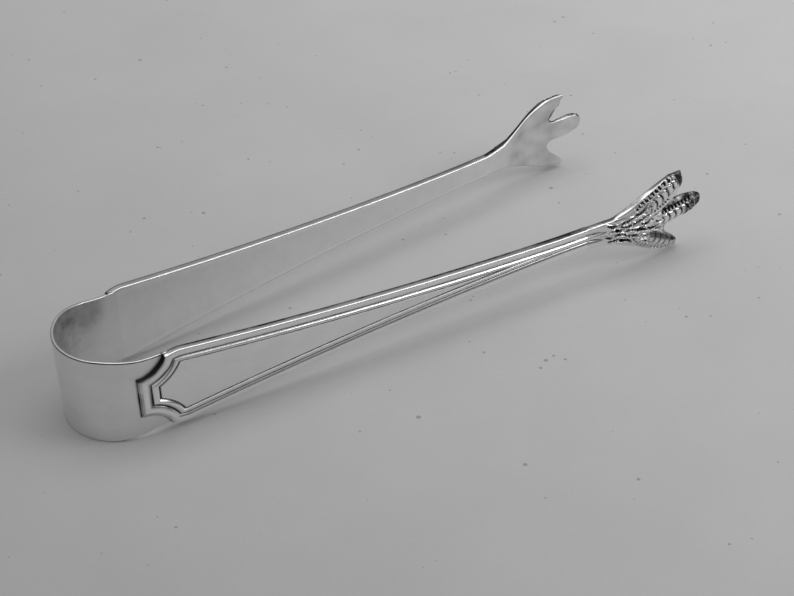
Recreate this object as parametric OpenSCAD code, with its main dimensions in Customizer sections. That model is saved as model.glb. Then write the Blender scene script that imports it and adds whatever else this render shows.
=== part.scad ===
// Claw tongs for ice: a spring bow of thin strip, two struck arms with a
// moulded panel, and two three-toed claws. The tongs lie on edge, the bow at
// the origin and the claws towards +X. Both arms are one shape, mirrored in Y.

/* [Overall] */
// Length from the back of the bow to the tips of the middle toes
overall_l = 162.5; // [158:0.5:172]
// Height of the bow's crown, and spread of the claws
rest_h = 22; // [21:0.5:24]

/* [Bow] */
// Inner radius of the bow
bow_r = 13; // [12:0.1:14]
// Thickness of the bow strip
strip_t = 0.8; // [0.6:0.05:1]
// Height of the strip at its necks, where the arms begin
neck_h = 18.9; // [18:0.1:20]
// Length of each straight leg between the round of the bow and the bend
leg_l = 3.3; // [3:0.1:5]
// Film of solder between a strip end and its arm
solder_gap = 0.03; // [0.02:0.01:0.05]

/* [Arms] */
// Angle at which each arm leaves the centre line
arm_angle = 3.6; // [3:0.05:4.5]
// Thickness of the arms
arm_t = 1.95; // [1.7:0.05:2.4]
// Height of the arms just past the shoulder
shoulder_h = 19.65; // [19.2:0.05:20.5]
// Height of the arms at the claws
wrist_h = 5.6; // [5:0.1:7]
// Length of an arm from the bend to its claw
arm_l = 112; // [108:1:116]
// Length of the lap that each arm makes over the strip, before the bend
lap_l = 5.3; // [4.5:0.1:6]

/* [Panel] */
// Width of the rounded border along the arm's edges
border_w = 2.2; // [1.8:0.1:2.6]
// Depth of the panel below the border
panel_depth = 0.5; // [0.3:0.05:0.7]
// Width of the fine bead inside the border
bead_w = 0.7; // [0.4:0.1:1]
// Radius of the hollow corners at the bow end
bite_r = 6.9; // [6:0.1:7.5]

/* [Claws] */
// Angle between the middle toe and the outer toes
toe_spread = 28.5; // [26:0.5:30]
// Radius of a toe at its root
toe_root_r = 2.9; // [2.6:0.1:3.1]
// Radius of a toe at its tip
toe_tip_r = 1.9; // [1.6:0.1:2]
// Number of scutes along a toe
scute_count = 6; // [4:1:8]
// Outward lean of each claw from its arm
claw_lean = 2.5; // [0:0.1:5]

/* [Hidden] */
$fn = 64;

mid_z = rest_h / 2;
bow_cx = bow_r + strip_t / 2;
bend_x = bow_cx + leg_l;
tail_l = 3.2;
crown_x = 4;
clear_h = rest_h + 4;

taper_r = 1010;
taper_slope = 0.024;
taper_l = 105;
shoulder_u = 5.4;
rise_u = 1.6;

bite_u = -4.9;
end_inset = 1.5;
bite_inset = 1.27;
bite_w = 12;
panel_end_u = 95;
floor_v = arm_t - panel_depth;
bead_gap = 0.25;
bead_root_v = floor_v - 0.1;
bead_top_v = arm_t - 0.1;
bead_end_u = panel_end_u - 3;
bead_split_u = panel_end_u - 12;

hub_u = 11;
hub_r = 10;
toe_start = 3;
toe_axis_v = 0.3;
scute_step = 0.14;
palm_v = 2.5;
web_v = 1.5;
side_reach = 19.1;
// The middle toe ends at the overall length, worked back along the arm
mid_reach = (overall_l - strip_t / 2 - bend_x - arm_l * cos(arm_angle))
    / cos(arm_angle + claw_lean) - hub_u - toe_tip_r;

function smooth(t) = let (c = min(1, max(0, t))) c * c * (3 - 2 * c);

// Half height of the strip at x: a level crown that narrows to the necks
function strip_half(x) =
    mid_z - (mid_z - neck_h / 2) * smooth((x - crown_x) / (bend_x - crown_x));

// Half height of an arm at u: the edges are long shallow arcs
function taper_half(u) = let (d = max(0, taper_l - u))
    wrist_h / 2 + (shoulder_h - wrist_h) / 2
        * (taper_slope * d + d * d / (2 * taper_r))
        / (taper_slope * (taper_l - shoulder_u)
            + pow(taper_l - shoulder_u, 2) / (2 * taper_r));
function arm_half(u) = u > shoulder_u ? taper_half(u)
    : neck_h / 2 + (shoulder_h - neck_h) / 2 * smooth((u - rise_u) / (shoulder_u - rise_u));

// Places its children in the frame of the back arm: u along the inner face
// from the bend, v outwards and w up from the middle
module arm_place() {
    translate([bend_x, bow_r, mid_z]) rotate([0, 0, arm_angle]) children();
}

// Stands a drawing in u and w up, and gives it thickness from v0 to v1
module slab(v0, v1) {
    translate([0, v1, 0]) rotate([90, 0, 0]) linear_extrude(height = v1 - v0) children();
}

// The plan of the bow on the +Y side, with a chosen thickness and tail
module half_bow_plan(t, tail) {
    difference() {
        translate([bow_cx, 0]) circle(r = bow_r + t, $fn = 128);
        translate([bow_cx, 0]) circle(r = bow_r, $fn = 128);
        translate([bow_cx, -50]) square([50, 100]);
        translate([-50, -100]) square([100, 100]);
    }
    translate([bow_cx, bow_r]) square([leg_l, t]);
    intersection() {
        translate([bend_x, bow_r]) circle(r = t);
        translate([bend_x, bow_r]) rotate(arm_angle) translate([-2 * t, 0]) square([2 * t, t]);
    }
    translate([bend_x, bow_r]) rotate(arm_angle) square([tail, t]);
}

module strip_side() {
    steps = 12;
    xs = [-2, for (i = [0 : steps]) crown_x + (bend_x - crown_x) * i / steps, 30];
    polygon(concat([for (x = xs) [x, mid_z + strip_half(x)]],
        [for (i = [len(xs) - 1 : -1 : 0]) [xs[i], mid_z - strip_half(xs[i])]]));
}

module bow() {
    color("gainsboro") intersection() {
        linear_extrude(height = rest_h) {
            half_bow_plan(strip_t, tail_l);
            mirror([0, 1]) half_bow_plan(strip_t, tail_l);
        }
        translate([0, 30, 0]) rotate([90, 0, 0]) linear_extrude(height = 60) strip_side();
    }
}

// Face of an arm, inset evenly from its edges, with hollow corners at the
// bow end; it runs on to end_u
module arm_face(inset, end_u) {
    first = -lap_l + inset * end_inset;
    steps = 24;
    us = [for (i = [0 : steps]) first + (end_u - first) * i / steps];
    difference() {
        polygon(concat([for (u = us) [u, arm_half(u) - inset]],
            [for (i = [steps : -1 : 0]) [us[i], inset - arm_half(us[i])]]));
        for (s = [-1, 1]) translate([bite_u, s * bite_w]) circle(r = bite_r + inset * bite_inset);
    }
}

module arm_solid() {
    difference() {
        arm_place() {
            difference() {
                slab(0, arm_t) arm_face(0, arm_l);
                slab(floor_v, arm_t + 1) arm_face(border_w, panel_end_u);
            }
            slab(bead_root_v, bead_top_v) difference() {
                arm_face(border_w + bead_gap, bead_end_u);
                arm_face(border_w + bead_gap + bead_w, bead_split_u);
            }
        }
        translate([0, 0, -2]) linear_extrude(height = clear_h) {
            half_bow_plan(strip_t + solder_gap, tail_l + solder_gap);
            translate([bow_cx, 0]) square([leg_l, bow_r + strip_t / 2]);
            translate([bow_cx, 0]) circle(r = bow_r + strip_t / 2);
        }
    }
}

// Places its children in the frame of the back claw, at the end of the arm
module claw_place() {
    arm_place() translate([arm_l, 0, 0]) rotate([0, 0, claw_lean]) children();
}

// One toe along +X from the hub: a row of scutes, each lapping the next
module toe(reach) {
    step = (reach - toe_start) / scute_count;
    rotate([0, 90, 0]) rotate_extrude() polygon([
        [0, toe_start],
        for (i = [0 : scute_count - 1]) let (
            r_far = toe_root_r + (toe_tip_r - toe_root_r) * pow((i + 1) / scute_count, 3),
            from = toe_start + i * step)
            each [[r_far - scute_step, from], [r_far, from + step]],
        for (a = [0 : 15 : 75]) [toe_tip_r * cos(a), reach + toe_tip_r * sin(a)],
        [0, reach + toe_tip_r]]);
}

// Outline of the palm: the ankle widens from the arm to the roots of the toes
module palm_face() {
    edge = [[0, wrist_h / 2], [5, 3.1], [9, 3.9], [12, 4.9], [15, 6.2], [18, 7.8]];
    polygon(concat(edge, [[23.5, 3.2]],
        [[23.5, -3.2]], [for (i = [len(edge) - 1 : -1 : 0]) [edge[i][0], -edge[i][1]]]));
}

// A claw, trimmed where it butts against the end of the arm
module claw_solid() {
    difference() {
        claw_place() {
            slab(0, web_v) palm_face();
            intersection() {
                slab(0, palm_v) palm_face();
                translate([hub_u, 0, 0]) rotate([90, 0, 0])
                    cylinder(r = hub_r, h = 4 * palm_v, center = true);
            }
            intersection() {
                slab(0, 2 * toe_root_r) translate([0, -mid_z]) square([overall_l, rest_h]);
                translate([hub_u, toe_axis_v, 0]) {
                    toe(mid_reach);
                    for (s = [-1, 1]) rotate([0, -s * toe_spread, 0]) toe(side_reach);
                }
            }
        }
        arm_place() translate([arm_l - 5, -arm_t, -mid_z]) cube([5, 3 * arm_t, rest_h]);
    }
}

module arm_back() { color("silver") arm_solid(); }
module arm_front() { color("silver") mirror([0, 1, 0]) arm_solid(); }
module claw_back() { color("darkgray") claw_solid(); }
module claw_front() { color("darkgray") mirror([0, 1, 0]) claw_solid(); }

bow();
arm_front();
arm_back();
claw_front();
claw_back();
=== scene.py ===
import math
import bmesh
import bpy
import numpy as np
from mathutils import Matrix, Vector


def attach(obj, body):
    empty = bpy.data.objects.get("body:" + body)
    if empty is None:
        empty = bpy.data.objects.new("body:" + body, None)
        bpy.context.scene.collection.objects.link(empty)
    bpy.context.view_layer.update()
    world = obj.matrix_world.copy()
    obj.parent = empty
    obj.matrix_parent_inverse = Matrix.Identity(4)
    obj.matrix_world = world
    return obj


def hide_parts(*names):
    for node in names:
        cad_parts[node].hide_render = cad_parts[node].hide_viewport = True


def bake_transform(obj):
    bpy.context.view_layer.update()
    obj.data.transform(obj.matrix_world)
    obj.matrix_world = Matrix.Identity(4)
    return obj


# Looks of the claw tongs for ice: bow, two arms and two claws in worn silver,
# on a pale table. Lengths are millimetres until scaled by MM; the frame is the
# CAD one: back of the bow at the origin, claws towards +X, arms at +Y and -Y.
#
# An arm or a claw is drawn in its own coordinates: u along it from its root,
# v outward from its inner face, and w up from its middle. A side is 1 for the
# back of the tongs, at +Y, and -1 for the front.
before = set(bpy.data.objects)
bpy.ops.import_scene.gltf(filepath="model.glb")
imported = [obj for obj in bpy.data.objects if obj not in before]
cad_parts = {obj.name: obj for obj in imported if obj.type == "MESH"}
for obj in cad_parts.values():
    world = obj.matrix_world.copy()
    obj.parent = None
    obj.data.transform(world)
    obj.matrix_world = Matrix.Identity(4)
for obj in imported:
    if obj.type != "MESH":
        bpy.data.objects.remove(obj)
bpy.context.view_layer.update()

MM = 0.001
# Height of the middle of the tongs above the table
MID_Z = 11.0

# Bow: its inner radius and the strip's thickness, where its crown ends and
# the arms' bend begins, half its height at the necks, and the tail that runs
# on behind each arm. The bend is eased over BEND_EASE either side of it.
BOW_R = 13.0
STRIP_T = 0.8
BOW_CX = BOW_R + STRIP_T / 2
CROWN_X = 4.0
BEND_X = 16.7
BEND_EASE = 0.8
NECK_HALF = 9.45
TAIL_L = 3.2
# Section of the strip: radius of its rims, how far short of them the even rows
# of mesh stop, the step to one more row, and the number of even rows
RIM_R = 0.24
RIM_GAP = 0.16
RIM_STEP = 0.10
FLAT_POINTS = 70

# Arms: their angle and length, and the height of the inner face
ARM_ANGLE = math.radians(3.6)
ARM_L = 112.0
SKIN_V = 0.012
# Lap over the strip: its length, the height of its underside, the lean of its
# rim, and the length over which it eases into the rest of the arm
LAP_L = 5.3
LAP_V = 0.83
LAP_SLOPE = 0.18
LAP_EASE = 1.6
# Outline of an arm: half heights at the wrist and the shoulder, where it rises
# to the shoulder from the lap, and the long curved taper from there
WRIST_HALF = 2.8
SHOULDER_HALF = 9.825
SHOULDER_U = 5.4
RISE_U = 1.6
TAPER_L = 105.0
TAPER_R = 1010.0
TAPER_SLOPE = 0.024

# Hollow corners at the bow end of an arm, and how an inset outline shrinks there
BITE_U = -4.9
BITE_W = 12.0
BITE_R = 6.9
END_INSET = 1.5
BITE_INSET = 1.32

# Moulded edge of an arm: the border's crest on the lap, the middles of the two
# grooves, and the sunken panel's floor
CREST_D = 0.8
CREST_V = 1.93
GROOVE_D = 2.01
INNER_GROOVE_D = 3.30
FLOOR_V = 1.60
# Rows of mesh across an arm's inner face and its panel, which all draw in to a
# centre line that stops short of the arm's outline
INNER_ROWS = 6
PANEL_ROWS = 8
CORE_INSET = 3.0
# Tops of the painted dark foot and of the grey band, partly tarnish and partly painted shade, on an
# arm's wall
FOOT_V = 0.65
WALL_V = 1.7

# Claws: lean from the arm, and the room that the object's box leaves them
# outward (v) and upward (w)
CLAW_LEAN = math.radians(2.5)
CLAW_TOP = 5.60
CLAW_REACH = 10.93
# The grid that a claw is drawn on: its step, where it starts in the arm's end,
# and how many steps it goes to each side, below and above the inner face
CLAW_STEP = 0.115
CLAW_START_U = -0.45
STEPS_W = 99
STEPS_BELOW = 2
STEPS_ABOVE = 31
# Toes: where they start, where the middle one ends, how far the toes stand
# above the middle on the inner and the outer face, where the palm ends on each,
# and where the lower toe ends on the outer face
TOE_ROOT_U = 11.0
MID_TIP_U = 33.20
INNER_RISE = 0.8
OUTER_RISE = 0.35
INNER_PALM_U = 21.9
OUTER_PALM_U = 21.5
LOW_TOE_U = 26.2
PALM_BLEND = 2.4
# Rounding between a claw's walls and its chased face, and its inner face
TOP_ROUND = 0.24
INNER_ROUND = 0.50
DISH = 0.10
# Length of a scute, and the rows of skin folds on the ankle
SCUTE_PITCH = 1.9
FOLD_ROWS = 7
FOLD_PITCH = 2.1
FOLD_START_U = 6.8

# Table: a painted fall-off of light across it, as a change of its colour per metre
FADE_MID = 0.777
FADE_X = 1.12
FADE_Y = 0.35
FADE_SPAN = 0.38
TABLE_HALF = 2.5

# Room: brightness at heights from the horizon (0) to straight above (1)
SKY = ((0.0, 0.12), (0.15, 0.10), (0.38, 0.34), (0.65, 0.50), (1.0, 0.55))
SKY_STRENGTH = 0.8

# Camera
CAM_LENS = 80.75
CAM_YAW = 0.5565
CAM_PITCH = 0.6203
CAM_ROLL = -0.0407
CAM_AT = (-100.551, -301.379, 251.902)


# ---------------------------------------------------------------- shapes
def smooth(t):
    """Smooth step of t clipped to 0..1."""
    c = np.clip(t, 0.0, 1.0)
    return c * c * (3.0 - 2.0 * c)


def bump(x, centre, width):
    """A soft hump of height one."""
    return np.exp(-((x - centre) / width) ** 2)


def soft_max(a, b, k):
    """The larger of two values, rounded over where they differ by less than k."""
    h = np.clip(0.5 + 0.5 * (a - b) / k, 0.0, 1.0)
    return b + (a - b) * h + k * h * (1.0 - h)


def soft_min(a, b, k):
    """The smaller of two values, rounded over where they differ by less than k."""
    return -soft_max(-a, -b, k)


def spline(points, count):
    """A Catmull-Rom curve through points, sampled evenly in its parameter."""
    p = np.array([points[0]] + list(points) + [points[-1]], dtype=float)
    t = np.linspace(0.0, len(points) - 1, count)
    i = np.minimum(t.astype(int), len(points) - 2)
    f = (t - i)[:, None]
    a, b, c, d = p[i], p[i + 1], p[i + 2], p[i + 3]
    return 0.5 * (2 * b + (c - a) * f + (2 * a - 5 * b + 4 * c - d) * f ** 2
                  + (3 * b - a - 3 * c + d) * f ** 3)


def make_mesh(name, verts, faces, tarnish_and_shade, polish, flip=False):
    """A smooth-shaded object from arrays, with tarnish and painted shade in one layer, and polish,
    per vertex.
    """
    faces = np.asarray(faces)
    if flip:
        faces = faces[:, ::-1]
    mesh = bpy.data.meshes.new(name)
    mesh.from_pydata(np.asarray(verts).tolist(), [], faces.tolist())
    for word, values in (("tarnish_and_shade", tarnish_and_shade), ("polish", polish)):
        layer = mesh.attributes.new(word, "FLOAT", "POINT")
        layer.data.foreach_set("value", np.asarray(values, dtype=np.float32))
    mesh.validate()
    mesh.polygons.foreach_set("use_smooth", [True] * len(mesh.polygons))
    mesh.update()
    obj = bpy.data.objects.new(name, mesh)
    bpy.context.scene.collection.objects.link(obj)
    return obj


def weld(obj):
    """Join coincident vertices, keeping the layer of tarnish and painted shade and the polish
    layer.
    """
    bm = bmesh.new()
    bm.from_mesh(obj.data)
    bmesh.ops.remove_doubles(bm, verts=bm.verts, dist=1e-7)
    bm.to_mesh(obj.data)
    bm.free()
    obj.data.polygons.foreach_set("use_smooth", [True] * len(obj.data.polygons))
    obj.data.update()


def grid_faces(rows, cols, close=False):
    """Quads of a rows by cols grid of vertices, optionally closed in columns."""
    r = np.arange(rows - 1)[:, None]
    last = cols if close else cols - 1
    c = np.arange(last)[None, :]
    n = (c + 1) % cols
    quads = np.stack([r * cols + c, r * cols + n, (r + 1) * cols + n, (r + 1) * cols + c], -1)
    return quads.reshape(-1, 4)


# ---------------------------------------------------------------- frames
def arm_point(side, u, v, w, extra=0.0, start=0.0):
    """Arm coordinates to the shared frame, in metres, from start along the arm."""
    angle = ARM_ANGLE + extra
    x0 = BEND_X + start * math.cos(ARM_ANGLE)
    y0 = BOW_R + start * math.sin(ARM_ANGLE)
    x = x0 + u * math.cos(angle) - v * math.sin(angle)
    y = y0 + u * math.sin(angle) + v * math.cos(angle)
    return np.stack([x * MM, side * y * MM, (MID_Z + w) * MM], axis=-1)


# How far outward a claw is bowed at each u, as its palm is cupped
CUP = spline([(0.0, 0.0), (4.0, 0.28), (8.0, 0.75), (12.0, 1.18), (16.0, 1.34), (20.0, 1.06),
              (23.0, 0.70), (27.0, 0.26), (30.5, 0.12), (34.0, 0.10)], 91)


def cup(u):
    """How far outward the claw is bowed at u."""
    return np.interp(u, CUP[:, 0], CUP[:, 1])


def claw_point(side, u, v, w):
    """Claw coordinates to the shared frame, with the claw bent and cupped."""
    butt = (1.0 - smooth(u / 3.0)) * v * math.tan(CLAW_LEAN)
    return arm_point(side, u + butt, v + cup(u), w, CLAW_LEAN, ARM_L)


# ---------------------------------------------------------------- bow
def strip_half(x):
    """Half height of the strip at x: tall at the crown, lower at the necks."""
    return MID_Z - (MID_Z - NECK_HALF) * smooth((x - CROWN_X) / (BEND_X - CROWN_X))


def bow_path():
    """Points and outward normals of the strip's inner face, for y > 0."""
    turn = np.concatenate([[0.0, 0.0015], np.linspace(0.012, math.pi / 2, 96)])
    path = [(BOW_CX - BOW_R * math.cos(a), BOW_R * math.sin(a), -math.cos(a), math.sin(a))
            for a in turn]
    path += [(x, BOW_R, 0.0, 1.0) for x in np.linspace(BOW_CX, BEND_X - BEND_EASE, 6)[1:]]
    for t in np.linspace(0.0, 1.0, 9)[1:]:
        # a soft bend from the leg's direction to the arm's
        angle = ARM_ANGLE * t
        rise = BEND_EASE * t * t * math.tan(ARM_ANGLE)
        path.append((BEND_X + BEND_EASE * (2.0 * t - 1.0), BOW_R + rise,
                     -math.sin(angle), math.cos(angle)))
    sin, cos = math.sin(ARM_ANGLE), math.cos(ARM_ANGLE)
    path += [(BEND_X + u * cos, BOW_R + u * sin, -sin, cos) for u in np.linspace(0.9, TAIL_L, 5)]
    return path


def strip_section(half):
    """Closed section of the strip: (outward, up) pairs with rounded rims."""
    arc = np.linspace(0.0, math.pi / 2, 5)
    flat = np.linspace(-1.0, 1.0, FLAT_POINTS) * (half - RIM_R - RIM_GAP)
    flat = np.concatenate([[flat[0] - RIM_STEP], flat, [flat[-1] + RIM_STEP]])
    out_face = [(STRIP_T, w) for w in flat]
    in_face = [(0.0, w) for w in flat[::-1]]
    level = half - RIM_R
    top = [(STRIP_T - RIM_R + RIM_R * math.cos(a), level + RIM_R * math.sin(a)) for a in arc]
    top += [(RIM_R - RIM_R * math.sin(a), level + RIM_R * math.cos(a)) for a in arc]
    low = [(v, -w) for v, w in top[::-1]]
    return np.array(out_face + top + in_face + low)


def bow_half(side, name):
    """Half of the bow, from the back of the curve to the tail behind an arm."""
    rows, tarnish_and_shade, polish = [], [], []
    for x, y, nx, ny in bow_path():
        half = float(strip_half(x))
        out, up = strip_section(half).T
        rows.append(np.stack([x + nx * out, side * (y + ny * out), MID_Z + up], -1) * MM)
        inner = out < 0.1
        # Smoke tarnish on the inner face; painted shadow beside the arm's lap on the other faces.
        stain_and_shade = np.maximum(smoke(side, x, up) * inner, lap_shadow(x - BEND_X, up) * ~inner)
        # The upper rim's outer corner gets a painted dark reflection line.
        tarnish_and_shade.append(np.maximum(stain_and_shade, rim_line(half, out, up)))
        polish.append(1.0 * (np.abs(up) > half - RIM_R - 0.01))
    faces = grid_faces(len(rows), len(rows[0]), close=True)
    return make_mesh(name, np.concatenate(rows), faces, np.concatenate(tarnish_and_shade),
                     np.concatenate(polish), side > 0)


def rim_line(half, out, up):
    """A painted dark reflection along the outer corner of the strip's upper rim."""
    off = half - np.abs(up)
    return 0.85 * (off > 0.03) * (off < RIM_R + 0.08) * (out > STRIP_T / 2) * (up > 0.0)


def lap_shadow(u, w):
    """Painted shadow on the strip just outside the arm's raised end: a dark line at the step, and a
    haze that is heavier higher up.
    """
    bite = BITE_R - np.hypot(u - BITE_U, np.abs(w) - BITE_W)
    gap = np.maximum(-LAP_L - u, bite)
    away = np.maximum(gap, 0.0)
    line = 0.70 * bump(away, 0.0, 0.13)
    haze = (0.12 + 0.2 * smooth((w - 3.0) / 3.0)) * np.exp(-away / 0.9)
    return (line + haze) * (gap > -0.3) * (u > -9.0)


def smoke(side, x, w):
    """Dark smoke inside the bow, heaviest high on the back quarter."""
    fade = 1.0 - smooth((x - 9.0) / 9.0)
    if side < 0:
        return 0.12 * fade + 0.35 * bump(x, 0.0, 3.5) * smooth((w + 9.0) / 10.0)
    body = 0.42 * bump(x, 4.0, 7.5) * smooth((w + 10.0) / 14.0)
    neck = 0.5 * bump(x, 13.0, 4.5) * smooth((w - 1.0) / 7.0) * (1.0 - smooth((x - 15.0) / 4.0))
    return np.clip(0.16 * fade + body + neck, 0.0, 0.56)


# ---------------------------------------------------------------- arms
def arm_half(u):
    """Half height of an arm at u."""
    u = np.asarray(u, dtype=float)
    d = np.maximum(0.0, TAPER_L - u)
    e = TAPER_L - SHOULDER_U
    whole = TAPER_SLOPE * e + e * e / (2 * TAPER_R)
    taper = (TAPER_SLOPE * d + d * d / (2 * TAPER_R)) / whole
    far = WRIST_HALF + (SHOULDER_HALF - WRIST_HALF) * taper
    rise = smooth((u - RISE_U) / (SHOULDER_U - RISE_U))
    near = NECK_HALF + (SHOULDER_HALF - NECK_HALF) * rise
    return np.where(u > SHOULDER_U, far, near)


# Section of the moulded edge: distance in from the edge, height above the
# inner face. Border with a crest, groove, bead, groove, sunken panel.
MOULDING = spline([(0.0, 1.45), (0.02, 1.66), (0.08, 1.81), (0.19, 1.90), (0.36, 1.94),
                   (0.7, 1.93), (1.1, 1.87), (1.5, 1.74), (1.8, 1.57), (1.95, 1.42),
                   (2.04, 1.36), (2.12, 1.44), (2.26, 1.64), (2.42, 1.80), (2.60, 1.90),
                   (2.8, 1.91), (2.98, 1.81), (3.12, 1.63), (3.22, 1.45), (3.32, 1.40),
                   (3.42, 1.50), (3.52, 1.59), (3.8, FLOOR_V)], 67)
# The rounded wall below it, from the inner face to the outer edge
WALL = [(0.42, SKIN_V), (0.2, 0.03), (0.07, 0.12), (0.0, 0.3), (0.0, 0.6), (0.0, 1.1)]


def moulding_v(d):
    """Height of the moulding at a distance in from the edge."""
    return np.interp(d, MOULDING[:, 0], MOULDING[:, 1])


def groove_dark(d):
    """How dark the grooves beside the bead have become."""
    return np.clip(1.3 * bump(d, GROOVE_D, 0.13) + 1.2 * bump(d, INNER_GROOVE_D, 0.14), 0.0, 1.0)


def corner_u(d):
    """Where the inset bite meets the inset long edge."""
    r = BITE_R + BITE_INSET * d
    lo, hi = -4.0, BITE_U + r - 0.001
    for _ in range(40):
        mid = (lo + hi) / 2
        bite = BITE_W - math.sqrt(max(0.0, r * r - (mid - BITE_U) ** 2))
        if bite < float(arm_half(mid)) - d:
            lo = mid
        else:
            hi = mid
    return lo


def ring(d):
    """The arm's outline inset by d, from the wrist round the lap end and back."""
    ease = 0.5 - 0.5 * np.cos(np.linspace(0.0, math.pi, 27))
    r = BITE_R + BITE_INSET * d
    top_u = corner_u(d)
    top_w = float(arm_half(top_u)) - d
    end_u = -LAP_L + END_INSET * d
    end_w = BITE_W - math.sqrt(r * r - (end_u - BITE_U) ** 2)
    far = np.linspace(0.0, 1.0, 90) ** 1.7
    u_long = (top_u + (ARM_L - top_u) * far)[::-1]
    w_long = np.maximum(arm_half(u_long) - d, 0.0)
    first = math.atan2(top_w - BITE_W, top_u - BITE_U)
    last = math.atan2(end_w - BITE_W, end_u - BITE_U)
    turn = first + (last - first) * ease[1:]
    u_bite = BITE_U + r * np.cos(turn)
    w_bite = BITE_W + r * np.sin(turn)
    w_end = end_w * (1.0 - 2.0 * ease[1:-1])
    u_end = np.full(len(w_end), end_u)
    u = np.concatenate([u_long, u_bite, u_end, u_bite[::-1], u_long[::-1]])
    w = np.concatenate([w_long, w_bite, w_end, -w_bite[::-1], -w_long[::-1]])
    return u, w


def on_lap(u, past):
    """1 on the lap over the strip, easing to 0 just past the arm's rise."""
    return smooth((RISE_U + past - u) / LAP_EASE)


def rim_row(d, v):
    """A row of the arm's rim, inset by d at height v, eased into the lap's crown."""
    u, w = ring(d)
    slope = LAP_SLOPE * smooth((v - 0.75) / 1.1) * (1.0 - smooth((d - 0.3) / 1.4))
    if slope > 0.0:
        lap_u, lap_w = ring(d + slope)
        lapped = on_lap(u, LAP_EASE)
        u = u + (lap_u - u) * lapped
        w = w + (lap_w - w) * lapped
    height = np.full(len(u), v)
    if d > 0.5 or v > 1.1:
        height = np.where(u > SHOULDER_U, moulding_v(np.minimum(d, arm_half(u))), v)
    if 0.15 < d < 1.9:
        crown = CREST_V - 0.30 * abs(d - CREST_D)
        height = height + on_lap(u, LAP_EASE) * (crown - height)
    return u, w, height


def fill_row(outline, part, v):
    """A row between an outline and the arm's centre line."""
    u, w = outline
    core = np.clip(u, u.min() + CORE_INSET, ARM_L)
    return u + (core - u) * part, w * (1.0 - part), np.full(len(u), v)


def arm_mesh(side, name):
    """One arm: inner face, rounded wall, moulded edge and sunken panel."""
    rows, tarnish_and_shade, polish = [], [], []
    for k in range(INNER_ROWS, 0, -1):
        rows.append(fill_row(ring(WALL[0][0]), k / INNER_ROWS, SKIN_V))
        tarnish_and_shade.append(np.full(len(rows[-1][0]), 0.13))
        polish.append(np.zeros(len(rows[-1][0])))
    for d, v in WALL + [tuple(p) for p in MOULDING]:
        rows.append(rim_row(d, v))
        tarnish_and_shade.append(rim_tarnish_and_shade(side, *rows[-1][:2], d, v))
        polish.append(np.full(len(rows[-1][0]), float(v > 0.02 and d < 3.4)))
    moulding_w = MOULDING[-1, 0]
    for k in range(1, PANEL_ROWS + 1):
        u, w, v = fill_row(ring(moulding_w), k / PANEL_ROWS, FLOOR_V)
        width = arm_half(u)
        rows.append((u, w, np.where(width < moulding_w, moulding_v(width), v)))
        tarnish_and_shade.append(groove_dark(np.minimum(width, 3.9)) * (width < 3.6))
        polish.append(-0.4 - 0.9 * smooth(u / 100.0))
    verts = []
    for u, w, v in rows:
        lap = LAP_V * np.clip((TAIL_L - 0.3 - u) / 0.4, 0.0, 1.0)
        verts.append(arm_point(side, u, np.maximum(v, lap), w))
    obj = make_mesh(name, np.concatenate(verts), grid_faces(len(verts), len(verts[0])),
                    np.concatenate(tarnish_and_shade), np.concatenate(polish), side < 0)
    weld(obj)
    return obj


def rim_tarnish_and_shade(side, u, w, d, v):
    """Tarnish and painted shade of an arm's rim: tarnish in the grooves, painted shade on the
    walls, the step down to the strip and the lap's border.
    """
    lapped = on_lap(u, 1.0)
    # Painted shade in the crevice of the step down to the strip, partly tarnish, and darker in the
    # upper bite.
    step = lapped * smooth((1.50 - v) / 0.15) * (d < 0.16)
    high_bite = 0.9 * (w > 4.7) * (u < RISE_U) * smooth((0.30 - d) / 0.15)
    # Painted dark reflection on the foot, heavier on the front arm, and on the back arm's far rim;
    # the wall band is partly tarnish and partly painted shade.
    foot = (0.9 if side < 0 else 0.3) * (d < 0.25) * (v > 0.02) * (v < FOOT_V)
    wall = (0.30 + 0.45 * smooth((u - 70.0) / 40.0)) * (d < 0.1) * (v > FOOT_V) * (v < WALL_V)
    far_rim = (0.0 if side < 0 else 0.8) * (d < 0.3) * (v > 1.5)
    lines = groove_dark(d) + step + high_bite + foot + wall + far_rim
    # Painted shading across the lap's border: darker towards the groove and at the outer edge,
    # leaving a light crest.
    hollow = (0.30 + 0.50 * lapped) * smooth((d - 1.15) / 0.8) * (d < 1.97)
    edge = 0.42 * lapped * smooth((0.62 - d) / 0.3)
    return np.clip(np.maximum(lines, hollow + edge), 0.0, 1.0) * np.ones(len(u))


# ---------------------------------------------------------------- claws
def side_toe(outer):
    """Axis and radius of an outer toe, at its outer or its slimmer inner face."""
    if outer:
        x = np.linspace(0.0, 13.8, 40)
        radius = 2.7 + 0.85 * smooth(x / 10.0) - 1.05 * smooth((x - 10.5) / 3.8)
        return TOE_ROOT_U + x, 1.3 + 0.50 * x, radius
    x = np.linspace(0.0, 15.2, 44)
    radius = 2.8 - 1.85 * (x / x[-1]) ** 3
    return TOE_ROOT_U + x, 1.6 + 0.57 * x - 0.0025 * x * x, radius


def mid_toe(outer):
    """Axis and radius of the middle toe, which bends up a little on its outer face."""
    if outer:
        u = np.linspace(TOE_ROOT_U, MID_TIP_U - 2.9, 40)
        radius = 2.6 + 0.4 * smooth((u - 15.0) / 8.0) - 0.4 * smooth((u - 28.5) / 2.6)
        return u, 0.0055 * np.maximum(0.0, u - 14.0) ** 2, radius
    u = np.linspace(TOE_ROOT_U, MID_TIP_U - 1.8, 40)
    return u, np.full(len(u), 0.3), 2.5 - 0.4 * smooth((u - 28.5) / 2.9)


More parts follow.
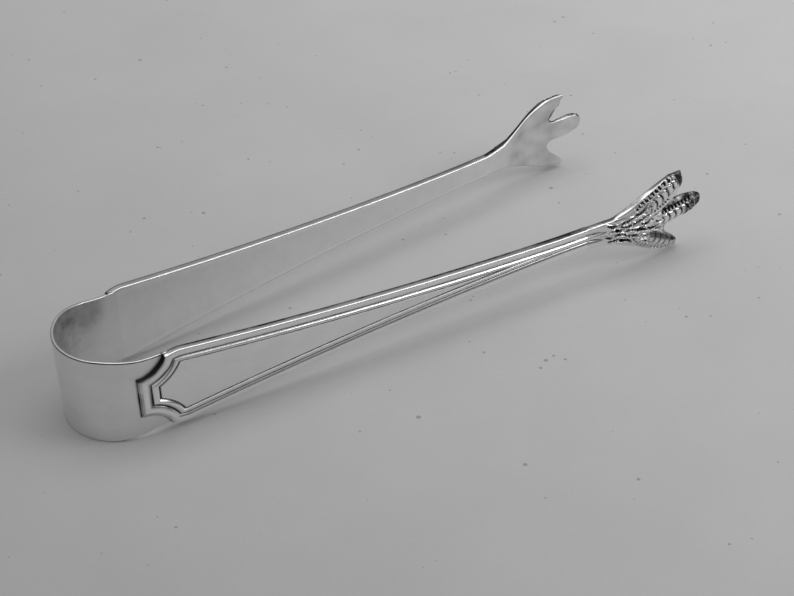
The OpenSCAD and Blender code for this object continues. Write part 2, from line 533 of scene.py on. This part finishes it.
def along_toe(u, w, axis_u, axis_w, radius):
    """Where each point lies on a toe: distance along it, place across it (1 at
    its edge), gap to its outline (negative inside), and the toe's length."""
    gap, along, across = np.full(u.shape, 1e9), np.zeros(u.shape), np.zeros(u.shape)
    run = 0.0
    last = len(axis_u) - 2
    for i in range(last + 1):
        du, dw = axis_u[i + 1] - axis_u[i], axis_w[i + 1] - axis_w[i]
        length = math.hypot(du, dw)
        part = ((u - axis_u[i]) * du + (w - axis_w[i]) * dw) / length ** 2
        t = np.clip(part, 0.0, 1.0)
        off_u, off_w = u - axis_u[i] - t * du, w - axis_w[i] - t * dw
        dist = np.hypot(off_u, off_w)
        r = radius[i] + (radius[i + 1] - radius[i]) * t
        near = dist - r < gap
        beyond = np.maximum(0.0, part - 1.0) * length if i == last else 0.0
        gap = np.where(near, dist - r, gap)
        along = np.where(near, run + t * length + beyond, along)
        across = np.where(near, np.sign(du * off_w - dw * off_u) * dist / r, across)
        run += length
    return along, across, gap, run


def ankle_half(u):
    """Half height of the ankle, before the palm widens."""
    return 2.8 + 0.9 * smooth(u / 9.0)


def palm_half(u):
    """Half height of the ankle and palm."""
    return 2.8 + 0.7 * smooth(u / 9.0) + 0.20 * np.maximum(0.0, u - 9.0)


def fan_half(u):
    """Half spread of the skin folds, which widens with the toes."""
    return ankle_half(u) + 0.40 * np.maximum(0.0, u - 9.0) ** 1.1


def toe_gaps(u, w, outer):
    """Where each grid point lies on the outer toes and on the middle toe."""
    side = along_toe(u, np.abs(w), *side_toe(outer))
    mid = along_toe(u, w, *mid_toe(outer))
    if outer:
        # the lower toe keeps its slimmer outline right through
        slim = along_toe(u, np.abs(w), *side_toe(False))
        side = (side[0], side[1], np.where(w > 0.0, side[2], slim[2]), side[3])
    return side, mid


def outline_of(u, w, side, mid, palm_end):
    """Signed distance to the claw's outline: toes, palm and ankle together."""
    palm = np.maximum((np.abs(w) - palm_half(u)) * 0.93, u - palm_end)
    whole = soft_min(np.minimum(side[2], mid[2]), palm, PALM_BLEND)
    return np.maximum(whole, np.abs(w) - CLAW_REACH)


def toe_section(m, crest):
    """Height across a toe: a low dome, highest at m = crest, over steep sides."""
    x = (m - crest) / (1.0 + abs(crest))
    return 1.55 + 0.60 * np.sqrt(np.clip(1.0 - np.abs(x) ** 2.1, 0.0, 1.0))


def scutes(s, across, start):
    """Height and darkening of a row of scutes, bowed towards the tip: tarnish in the cuts, and
    painted shade over each scute's far part and sides.
    """
    phase = (s + 0.75 * across ** 2 - 0.5 - start) / SCUTE_PITCH
    cell = phase - np.floor(phase)
    cut = bump(np.minimum(cell, 1.0 - cell) * SCUTE_PITCH, 0.0, 0.24)
    crown = np.sqrt(np.clip(1.0 - 0.8 * (2.0 * cell - 0.9) ** 2, 0.0, 1.0))
    crown = crown * np.sqrt(np.clip(1.0 - 0.9 * across ** 2, 0.0, 1.0))
    # Painted shade over the far part and the sides of each scute.
    shade = 0.45 * smooth((cell - 0.55) / 0.4) + 0.5 * smooth((np.abs(across) - 0.62) / 0.3)
    return 0.60 * crown - 0.16 - 0.28 * cut, np.maximum(cut, shade)


def notches(s, m, place, width, period, begin, stop):
    """Depth and tarnish of a row of small notches along a toe."""
    lane = smooth((width - np.abs(m - place)) / 0.05)
    lane = lane * smooth((s - begin) / 1.0) * smooth((stop - s) / 0.8)
    tooth = 0.5 + 0.5 * np.cos(2 * math.pi * (s + 0.8 * (m - place)) / period)
    low = 0.80 - tooth
    return lane * (0.04 + 0.42 * smooth(low / 0.6)), lane * smooth(low / 0.35)


def toe_relief(s, n, length, start, crest, centre, reach):
    """Height, tarnish and painted shade over a toe: scutes from start, lying at centre
    and out to reach either side, a row of notches beside them on each side, and a tip
    darkened with painted shade."""
    m = np.clip(n, -1.2, 1.2)
    across = (m - centre) / reach
    # The tip is darkened with painted shade.
    tip = smooth((s - (length - 2.0)) / 0.5)
    scaled = smooth((1.0 - np.abs(across)) / 0.16) * smooth((s - start + 1.2) / 1.0) * (1.0 - tip)
    lift, shade = scutes(s, across, start)
    top = toe_section(m, crest) - 0.55 * smooth((s - (length - 7.0)) / 8.0) + scaled * lift
    dark = scaled * shade
    wide = notches(s, m, place=centre + reach + 0.23, width=0.22, period=1.06,
                   begin=1.0, stop=length - 2.2)
    fine = notches(s, m, place=centre - reach - 0.13, width=0.12, period=0.80,
                   begin=start, stop=length - 5.5)
    for depth, shade in (wide, fine):
        top = top - depth
        dark = np.maximum(dark, shade)
    return top - 0.18 * bump(s, length - 2.0, 0.22), np.maximum(dark, 0.95 * tip)


def leaf(u, w, at_u, at_w, angle, long, wide, bend):
    """A curved lens: 1 at its spine, falling through 0 at its rim."""
    a = (u - at_u) * math.cos(angle) + (w - at_w) * math.sin(angle)
    b = -(u - at_u) * math.sin(angle) + (w - at_w) * math.cos(angle)
    b = b - bend * (a * a / long - long * 0.3)
    return 1.0 - (a / long) ** 2 - (b / wide) ** 2


def ankle_relief(u, w):
    """Skin folds of the ankle: rows of leaf-shaped hollows fanning to the toes."""
    q = np.clip(w / fan_half(u), -1.0, 1.0)
    wander = 0.35 * np.sin(u * 0.95) + 0.12 * np.sin(u * 2.3 + q * 5.0)
    wave = np.cos(2 * math.pi * (q * 3.6 + wander))
    skin = smooth((u - 5.0) / 2.5) * smooth((1.0 - np.abs(q)) / 0.16)
    top = 1.55 + 0.85 * np.sqrt(np.clip(1.0 - np.abs(q) ** 2.4, 0.0, 1.0)) + 0.09 * skin * wave
    dark = skin * 0.4 * smooth((-wave - 0.55) / 0.45)
    for i in range(FOLD_ROWS):
        row_u = FOLD_START_U + FOLD_PITCH * i
        span = float(fan_half(row_u)) * 0.80
        count = 4 + i // 2
        for j in range(count):
            part = (j + 0.5) / count * 2.0 - 1.0
            turn = 0.62 * part * smooth((row_u - 5.0) / 9.0) + 0.16 * math.sin(3.1 * i + 1.7 * j)
            shift = 0.6 * math.sin(2.3 * i + 4.1 * j)
            long = 1.8 + 0.4 * math.sin(i + 2.0 * j)
            bend = 0.34 if (i + j) % 2 else -0.34
            lens = leaf(u, w, row_u + shift, span * part, float(turn), long, 0.44, bend)
            hollow = smooth(lens / 0.7)
            lip = bump(lens, -0.45, 0.45)
            top = top - 0.55 * hollow + 0.20 * lip
            dark = np.maximum(dark * (1.0 - 0.85 * lip), hollow)
    return top, dark


def side_toe_relief(w, toe):
    """Relief of the outer toes; the lower one has painted shade above and is plain below."""
    s, n, _, length = toe
    top, dark = toe_relief(s, n, length + 2.4, start=6.3, crest=-0.20, centre=0.02, reach=0.50)
    # Painted shade over the upper part of the lower toe.
    low = smooth((-w - 2.0) / 1.0)
    plain = low * smooth((n - 0.2) / 0.2)
    shaded = low * smooth((0.15 - n) / 0.25)
    return top, np.maximum(dark * (1.0 - 0.6 * plain), 0.95 * shaded)


def mid_toe_relief(u, w, toe):
    """Relief of the middle toe: its upper flank slopes away and has painted shade, and
    the far end has blotched painted shade."""
    s, n, _, length = toe
    top, dark = toe_relief(s, n, length + 2.5, start=9.8, crest=-0.25, centre=-0.36, reach=0.44)
    top = top - 1.3 * np.clip((n - 0.30) / 0.7, 0.0, 1.0) ** 1.3
    blotch = np.sin(u * 2.7 + 1.3 * np.sin(w * 3.1)) * np.sin(w * 3.3 + np.sin(u * 1.9))
    # Painted shade on the upper flank, and blotched painted shade over the far end.
    dark = np.maximum(dark, smooth((n - 0.30) / 0.2) * (0.93 + 0.05 * blotch))
    far = smooth((u - 27.0) / 1.5) * smooth((0.30 - n) / 0.15)
    dark = np.maximum(dark, far * np.clip(0.80 + 0.4 * blotch, 0.0, 1.0))
    return top + 0.12 * far * blotch, dark


def claw_fields():
    """Over a flat grid of u and w: the claw's inner and outer outlines, its top
    height, its tarnish and painted shade, and whether the middle toe is the nearest."""
    u_axis = np.arange(CLAW_START_U, MID_TIP_U + 0.5, CLAW_STEP)
    w_axis = np.arange(-STEPS_W, STEPS_W + 1) * CLAW_STEP
    u, w = np.meshgrid(u_axis, w_axis, indexing="ij")
    lift = smooth((u - 6.0) / 10.0)
    side, mid = toe_gaps(u, w - OUTER_RISE * lift, True)
    outer = outline_of(u, w, side, mid, OUTER_PALM_U)
    outer = np.where(w > -3.0, outer, np.maximum(outer, u - LOW_TOE_U))
    rise = INNER_RISE * (0.45 + 0.55 * smooth((w + 4.0) / 8.0))
    inner = outline_of(u, w, *toe_gaps(u, w - rise * lift, False), INNER_PALM_U)

    # Which part shows: the toes take over from the ankle towards their roots.
    side_n, mid_n = side[1], mid[1]
    early = smooth((u - 12.4) / 1.2) * smooth((side_n - 0.30) / 0.15)
    side_on = np.maximum(smooth((u - 15.5) / 3.0), early) * smooth(-side[2] / 0.35)
    mid_on = smooth((u - 19.5) / 2.5) * smooth(-mid[2] / 0.35)
    mid_on = mid_on * (1.0 - side_on * smooth((mid_n - 0.1) / 0.3))
    mid_on = mid_on * (1.0 - side_on * smooth((-0.85 - mid_n) / 0.1))
    top, dark = ankle_relief(u, w)
    top = top - 0.9 * smooth((u - 20.0) / 3.0)
    dark = dark * (1.0 - smooth((u - 19.0) / 2.0)) + 0.8 * smooth((u - 20.5) / 1.5)
    # The wrist carries the arm's moulding for a little way.
    inset = np.clip(palm_half(u) - np.abs(w), 0.0, 3.9)
    wrist = 1.0 - smooth((u - 1.5) / 5.0)
    layers = ((side_on, *side_toe_relief(w, side)), (mid_on, *mid_toe_relief(u, w, mid)),
              (wrist, moulding_v(inset), groove_dark(inset)))
    for share, layer_top, layer_dark in layers:
        top = top + (layer_top - top) * share
        dark = dark + (layer_dark - dark) * share
    top = np.minimum(top, CLAW_TOP - math.sin(ARM_ANGLE + CLAW_LEAN) * u - cup(u))
    return u_axis, w_axis, inner, outer, top, np.clip(dark, 0.0, 1.0), mid[2] < side[2]


def surface_net(field):
    """Vertices (in grid steps) and quads of the zero surface of a 3-D field."""
    inside = field < 0.0
    shape = tuple(n - 1 for n in field.shape)
    corners = [(i, j, k) for i in (0, 1) for j in (0, 1) for k in (0, 1)]

    def corner(values, c):
        """The values at one corner of every cell."""
        return values[c[0]:c[0] + shape[0], c[1]:c[1] + shape[1], c[2]:c[2] + shape[2]]

    count = sum(corner(inside, c).astype(np.int8) for c in corners)
    active = (count > 0) & (count < 8)
    cells = np.argwhere(active)
    total, hits = np.zeros((len(cells), 3)), np.zeros((len(cells), 1))
    for a in corners:
        for axis in range(3):
            if a[axis]:
                continue
            b = tuple(a[k] + (k == axis) for k in range(3))
            fa, fb = corner(field, a)[active], corner(field, b)[active]
            cross = (fa < 0.0) != (fb < 0.0)
            t = np.where(cross, fa / np.where(cross, fa - fb, 1.0), 0.0)
            point = np.array(a, dtype=float)[None, :].repeat(len(cells), 0)
            point[:, axis] += t
            total += point * cross[:, None]
            hits += cross[:, None]
    verts = cells + total / hits
    number = np.full(shape, -1)
    number[active] = np.arange(len(cells))
    quads = []
    for axis in range(3):
        b, c = (axis + 1) % 3, (axis + 2) % 3
        here = np.moveaxis(inside, (axis, b, c), (0, 1, 2))
        index = np.moveaxis(number, (axis, b, c), (0, 1, 2))
        first, second = here[:-1, 1:-1, 1:-1], here[1:, 1:-1, 1:-1]
        for leaving in (True, False):
            hit = np.argwhere((first != second) & (first == leaving))
            i, j, k = hit[:, 0], hit[:, 1], hit[:, 2]
            quad = np.stack([index[i, j, k], index[i, j + 1, k],
                             index[i, j + 1, k + 1], index[i, j, k + 1]], -1)
            quads.append(quad if leaving else quad[:, ::-1])
    return verts, np.concatenate(quads)


def claw_shape():
    """A claw's vertices in claw coordinates, its quads, its tarnish and painted shade, and its
    polish.
    """
    u_axis, w_axis, inner, outer, top, dark, on_mid = claw_fields()
    v_axis = np.arange(-STEPS_BELOW, STEPS_ABOVE + 1) * CLAW_STEP
    widen = smooth((v_axis - 0.2) / 1.5)[None, None, :]
    wall = inner[:, :, None] * (1.0 - widen) + outer[:, :, None] * widen
    above = v_axis[None, None, :] - top[:, :, None]
    dish = DISH * smooth(-inner / 3.0)
    below = dish[:, :, None] - v_axis[None, None, :]
    field = soft_max(soft_max(wall, above, TOP_ROUND), below, INNER_ROUND)
    before = u_axis[0] + 2 * CLAW_STEP - u_axis
    field = np.maximum(field, before[:, None, None])
    verts, quads = surface_net(field)
    axes = (u_axis, w_axis, v_axis)
    u, w, v = (axis[0] + verts[:, k] * CLAW_STEP for k, axis in enumerate(axes))
    i, j = np.rint(verts[:, 0]).astype(int), np.rint(verts[:, 1]).astype(int)
    at = np.clip(i, 0, len(u_axis) - 1), np.clip(j, 0, len(w_axis) - 1)
    tarnish_and_shade = claw_tarnish_and_shade(u, v, w, top[at], dark[at], outer[at], on_mid[at])
    return (u, v, w), quads, tarnish_and_shade, smooth((v - 0.2) / 0.3)


def claw_tarnish_and_shade(u, v, w, top, dark, outer, on_mid):
    """Tarnish and painted shade of the claw on either side: chased face, walls and inner face."""
    # The chased face carries tarnish in its hollows and painted shade from the toes' relief.
    chased = dark * smooth((v - top + 0.75) / 0.3)
    wall = smooth((v - 0.2) / 0.3) * smooth((top - 0.40 - v) / 0.3)
    rim = np.abs(w) > 1.45 + 0.53 * np.maximum(u - TOE_ROOT_U, 0.0)
    between = ~rim * (u > 18.0)
    # Painted shade on the upper walls between the toes, on both claws.
    mid_wall = 0.97 * wall * between * (w > 0.0) * on_mid
    blot = 0.5 + 0.5 * np.sin(u * 0.55 + 1.2 * np.sin(w * 0.7)) * np.sin(w * 0.75 + np.sin(u * 0.4))
    cloud = (0.12 + 0.20 * blot) * smooth((0.3 - v) / 0.2) * smooth((u - 4.0) / 8.0)
    both = np.maximum(np.maximum(chased, mid_wall), cloud)

    # Back claw only: painted dark reflection over its upper walls and the rim beside them.
    near_rim = smooth((outer + 1.0) / 0.3)
    back = 0.97 * smooth((v - 0.45) / 0.2) * np.maximum(wall, near_rim) * rim * (w > 0.0)

    # Front claw only: painted dark reflection on its walls, and painted shade on the walls facing
    # up between the toes.
    line = 0.8 * bump(v, 0.52, 0.16) * rim
    front = np.maximum(wall * rim * (0.55 + 0.25 * smooth((16.0 - u) / 12.0)), line)
    facing_up = np.where(w > 0.0, on_mid, ~on_mid)
    deep = 0.97 * smooth((v - 0.02) / 0.1) * smooth((top - 0.25 - v) / 0.3)
    front = np.maximum(front, deep * between * facing_up)
    # Front and back get different painted shade over the shared tarnish.
    return {-1: np.maximum(both, front), 1: np.maximum(both, back)}


# ---------------------------------------------------------------- materials
def node(tree, kind, **inputs):
    """A shader node with its plain inputs set by name."""
    made = tree.nodes.new(kind)
    for key, value in inputs.items():
        made.inputs[key.replace("_", " ")].default_value = value
    return made


def ramp(tree, source, low, high, out_low=0.0, out_high=1.0):
    """Map a value from low..high to out_low..out_high, clamped."""
    made = node(tree, "ShaderNodeMapRange", From_Min=low, From_Max=high,
                To_Min=out_low, To_Max=out_high)
    tree.links.new(source, made.inputs["Value"])
    return made.outputs["Result"]


def noise(tree, coords, scale, detail=4.0, rough=0.55, stretch=(1.0, 1.0, 1.0)):
    """Noise in metres of the object's own frame: scale is cells per metre."""
    turn = node(tree, "ShaderNodeMapping", Scale=stretch)
    tree.links.new(coords, turn.inputs["Vector"])
    made = node(tree, "ShaderNodeTexNoise", Scale=scale, Detail=detail, Roughness=rough)
    tree.links.new(turn.outputs["Vector"], made.inputs["Vector"])
    return made.outputs["Fac"]


def maths(tree, kind, a, b):
    """Two values, plain or linked, joined by a maths node."""
    made = tree.nodes.new("ShaderNodeMath")
    made.operation = kind
    for slot, value in enumerate((a, b)):
        if isinstance(value, (int, float)):
            made.inputs[slot].default_value = value
        else:
            tree.links.new(value, made.inputs[slot])
    return made.outputs[0]


def blended(tree, a, share_a, b, share_b):
    """The weighted sum of two values."""
    return maths(tree, "ADD", maths(tree, "MULTIPLY", a, share_a),
                 maths(tree, "MULTIPLY", b, share_b))


def attribute(tree, word):
    """A value stored at each vertex."""
    made = tree.nodes.new("ShaderNodeAttribute")
    made.attribute_name = word
    return made.outputs["Fac"]


def grey_mix(tree, share):
    """A colour mix node driven by share; sockets 6 and 7 are its two colours."""
    made = tree.nodes.new("ShaderNodeMix")
    made.data_type = "RGBA"
    tree.links.new(share, made.inputs[0])
    return made


def grey(level):
    """A neutral colour."""
    return (level, level, level, 1.0)


def rough_bump(tree, skin, height, strength, distance):
    """Fine surface texture from a height value, on a shader."""
    made = node(tree, "ShaderNodeBump", Strength=strength, Distance=distance)
    tree.links.new(height, made.inputs["Height"])
    tree.links.new(made.outputs["Normal"], skin.inputs["Normal"])


def silver(name, clean, tarnish_and_shade_grey, bright, scratch, cloud, rough=0.36):
    """Worn silver: clouded polish, fine scratches, black in the hollows, and painted
    shade. Rough is the roughness where polish is 0, and bright where it is 1."""
    mat = bpy.data.materials.new(name)
    mat.use_nodes = True
    tree = mat.node_tree
    tree.nodes.clear()
    out = tree.nodes.new("ShaderNodeOutputMaterial")
    skin = node(tree, "ShaderNodeBsdfPrincipled", Metallic=1.0)
    tree.links.new(skin.outputs["BSDF"], out.inputs["Surface"])
    coords = tree.nodes.new("ShaderNodeTexCoord").outputs["Object"]
    clouds = noise(tree, coords, 130.0, detail=5.0, rough=0.6, stretch=(1.0, 1.0, 1.6))
    wisps = noise(tree, coords, 420.0, detail=6.0, rough=0.65, stretch=(1.0, 1.0, 0.6))
    fine = noise(tree, coords, 5200.0, detail=3.0, rough=0.6, stretch=(0.12, 1.0, 1.0))
    nicks = noise(tree, coords, 1500.0, detail=2.0, rough=0.5)

    # Light stains and painted shade are streaked by the clouds, and heavy ones are solid.
    stain_and_shade = attribute(tree, "tarnish_and_shade")
    streaks = maths(tree, "ADD", clouds, maths(tree, "MULTIPLY", wisps, 0.6))
    patchy = maths(tree, "MULTIPLY", stain_and_shade, ramp(tree, streaks, 0.55, 1.05, 0.50, 1.35))
    dirt_and_shade = maths(tree, "MAXIMUM", patchy, ramp(tree, stain_and_shade, 0.75, 1.0))
    dirt_and_shade = ramp(tree, dirt_and_shade, 0.05, 0.95)
    tone = grey_mix(tree, ramp(tree, clouds, 0.35, 0.65))
    tone.inputs[6].default_value = grey(clean - cloud)
    tone.inputs[7].default_value = grey(clean + cloud * 0.4)
    black = grey_mix(tree, dirt_and_shade)
    black.inputs[7].default_value = grey(tarnish_and_shade_grey)
    tree.links.new(tone.outputs[2], black.inputs[6])
    tree.links.new(black.outputs[2], skin.inputs["Base Color"])

    grain = ramp(tree, blended(tree, clouds, 0.7, fine, 0.4), 0.35, 0.8,
                 rough - 0.05, rough + 0.07)
    polish = maths(tree, "MULTIPLY", attribute(tree, "polish"), bright - rough)
    dull = maths(tree, "ADD", maths(tree, "ADD", grain, polish),
                 maths(tree, "MULTIPLY", dirt_and_shade, 0.22))
    tree.links.new(dull, skin.inputs["Roughness"])
    rough_bump(tree, skin, blended(tree, fine, 0.35, nicks, 0.65), scratch, 0.00006)
    return mat


def table_top():
    """Pale matt table with faint mottling, a scatter of small specks, and a painted fall-off of
    light across it.
    """
    mat = bpy.data.materials.new("table_top")
    mat.use_nodes = True
    tree = mat.node_tree
    skin = tree.nodes["Principled BSDF"]
    skin.inputs["Roughness"].default_value = 0.55
    skin.inputs["Specular IOR Level"].default_value = 0.35
    coords = tree.nodes.new("ShaderNodeTexCoord").outputs["Object"]
    mottle = noise(tree, coords, 22.0, detail=6.0, rough=0.6)
    grit = noise(tree, coords, 900.0, detail=3.0, rough=0.6)
    base = ramp(tree, blended(tree, mottle, 0.7, grit, 0.3), 0.3, 0.7, 0.60, 0.66)

    cells = node(tree, "ShaderNodeTexVoronoi", Scale=250.0)
    tree.links.new(coords, cells.inputs["Vector"])
    crowd = ramp(tree, noise(tree, coords, 85.0, 2.0), 0.47, 0.74)
    speck = maths(tree, "LESS_THAN", cells.outputs["Distance"],
                  maths(tree, "MULTIPLY", crowd, 0.17))
    shade = maths(tree, "MULTIPLY", base, ramp(tree, speck, 0.0, 1.0, 1.0, 0.62))

    # Painted light: the table's colour brightens towards +X and +Y, standing in for the lamps'
    # fall-off.
    place = tree.nodes.new("ShaderNodeSeparateXYZ")
    tree.links.new(coords, place.inputs["Vector"])
    slope = blended(tree, place.outputs["X"], FADE_X, place.outputs["Y"], FADE_Y)
    fade = ramp(tree, slope, -0.5 * FADE_SPAN, FADE_SPAN,
                FADE_MID - 0.5 * FADE_SPAN, FADE_MID + FADE_SPAN)
    shade = maths(tree, "MULTIPLY", shade, fade)
    colour = tree.nodes.new("ShaderNodeCombineColor")
    for channel in ("Red", "Green", "Blue"):
        tree.links.new(shade, colour.inputs[channel])
    tree.links.new(colour.outputs["Color"], skin.inputs["Base Color"])
    rough_bump(tree, skin, grit, 0.25, 0.0001)
    return mat


# ---------------------------------------------------------------- stage
def camera():
    """The camera, from its place, yaw, pitch and roll."""
    fwd = Vector((math.sin(CAM_YAW) * math.cos(CAM_PITCH), math.cos(CAM_YAW) * math.cos(CAM_PITCH),
                  -math.sin(CAM_PITCH)))
    flat = Vector((math.cos(CAM_YAW), -math.sin(CAM_YAW), 0.0))
    lift = flat.cross(fwd)
    right = math.cos(CAM_ROLL) * flat + math.sin(CAM_ROLL) * lift
    up = -math.sin(CAM_ROLL) * flat + math.cos(CAM_ROLL) * lift
    data = bpy.data.cameras.new("camera")
    data.lens = CAM_LENS
    data.sensor_width = 36.0
    data.clip_start = 0.01
    obj = bpy.data.objects.new("camera", data)
    turn = Matrix((right, up, -fwd)).transposed().to_4x4()
    obj.matrix_world = Matrix.Translation(Vector(CAM_AT) * MM) @ turn
    bpy.context.scene.collection.objects.link(obj)
    bpy.context.scene.camera = obj


def area(name, at, look, size, power):
    """A rectangular lamp at a place in metres, aimed at another."""
    data = bpy.data.lights.new(name, "AREA")
    data.shape = "RECTANGLE"
    data.size, data.size_y = size
    data.energy = power
    obj = bpy.data.objects.new(name, data)
    obj.location = at
    obj.rotation_euler = (Vector(look) - Vector(at)).to_track_quat("-Z", "Y").to_euler()
    bpy.context.scene.collection.objects.link(obj)


def surroundings():
    """A dim room, brighter overhead."""
    world = bpy.data.worlds.new("room")
    bpy.context.scene.world = world
    world.use_nodes = True
    tree = world.node_tree
    back = tree.nodes["Background"]
    coords = tree.nodes.new("ShaderNodeTexCoord").outputs["Generated"]
    split = tree.nodes.new("ShaderNodeSeparateXYZ")
    tree.links.new(coords, split.inputs["Vector"])
    sky = tree.nodes.new("ShaderNodeValToRGB")
    stops = sky.color_ramp.elements
    stops.remove(stops[1])
    for k, (place, level) in enumerate(SKY):
        stop = stops[0] if k == 0 else stops.new(place)
        stop.position = place
        stop.color = grey(level)
    tree.links.new(split.outputs["Z"], sky.inputs["Fac"])
    tree.links.new(sky.outputs["Color"], back.inputs["Color"])
    back.inputs["Strength"].default_value = SKY_STRENGTH


def floor():
    """The table that the tongs lie on."""
    ends = ((-1, -1), (1, -1), (1, 1), (-1, 1))
    mesh = bpy.data.meshes.new("table")
    mesh.from_pydata([(x * TABLE_HALF, y * TABLE_HALF, 0.0) for x, y in ends], [], [(0, 1, 2, 3)])
    obj = bpy.data.objects.new("table", mesh)
    obj.data.materials.append(table_top())
    bpy.context.scene.collection.objects.link(obj)


def lamps():
    """A wide soft lamp overhead, and a smaller one past the claws like a window."""
    area("overhead", (0.18, 0.14, 0.85), (0.14, 0.0, 0.0), (0.90, 0.60), 2.2)
    area("window", (0.66, -0.46, 0.54), (0.12, 0.0, 0.02), (0.42, 0.42), 2.0)


def tongs():
    """The bow, arms and claws in place of their CAD nodes; the arms and claws ride on their limbs'
    bodies.
    """
    bow_skin = silver("bow_silver", clean=0.84, tarnish_and_shade_grey=0.05, bright=0.20,
                      scratch=0.15, cloud=0.04)
    arm_skin = silver("arm_silver", clean=0.92, tarnish_and_shade_grey=0.03, bright=0.18,
                      scratch=0.15, cloud=0.04)
    claw_skin = silver("claw_silver", clean=0.84, tarnish_and_shade_grey=0.02, bright=0.18,
                       scratch=0.2, cloud=0.05)
    claw_at, quads, tarnish_and_shade, polish = claw_shape()
    for side, word, body in ((-1, "front", "front_limb"), (1, "back", "back_limb")):
        half = bow_half(side, "bow_strip_" + word)
        half.data.materials.append(bow_skin)
        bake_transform(half)
        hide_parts("bow")
        arm = arm_mesh(side, "arm_plate_" + word)
        arm.data.materials.append(arm_skin)
        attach(arm, body)
        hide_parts("arm_" + word)
        at = claw_point(side, *claw_at)
        claw = make_mesh("claw_foot_" + word, at, quads, tarnish_and_shade[side], polish, side > 0)
        claw.data.materials.append(claw_skin)
        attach(claw, body)
        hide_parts("claw_" + word)


camera()
surroundings()
floor()
lamps()
tongs()
bpy.context.scene.view_settings.view_transform = "Standard"
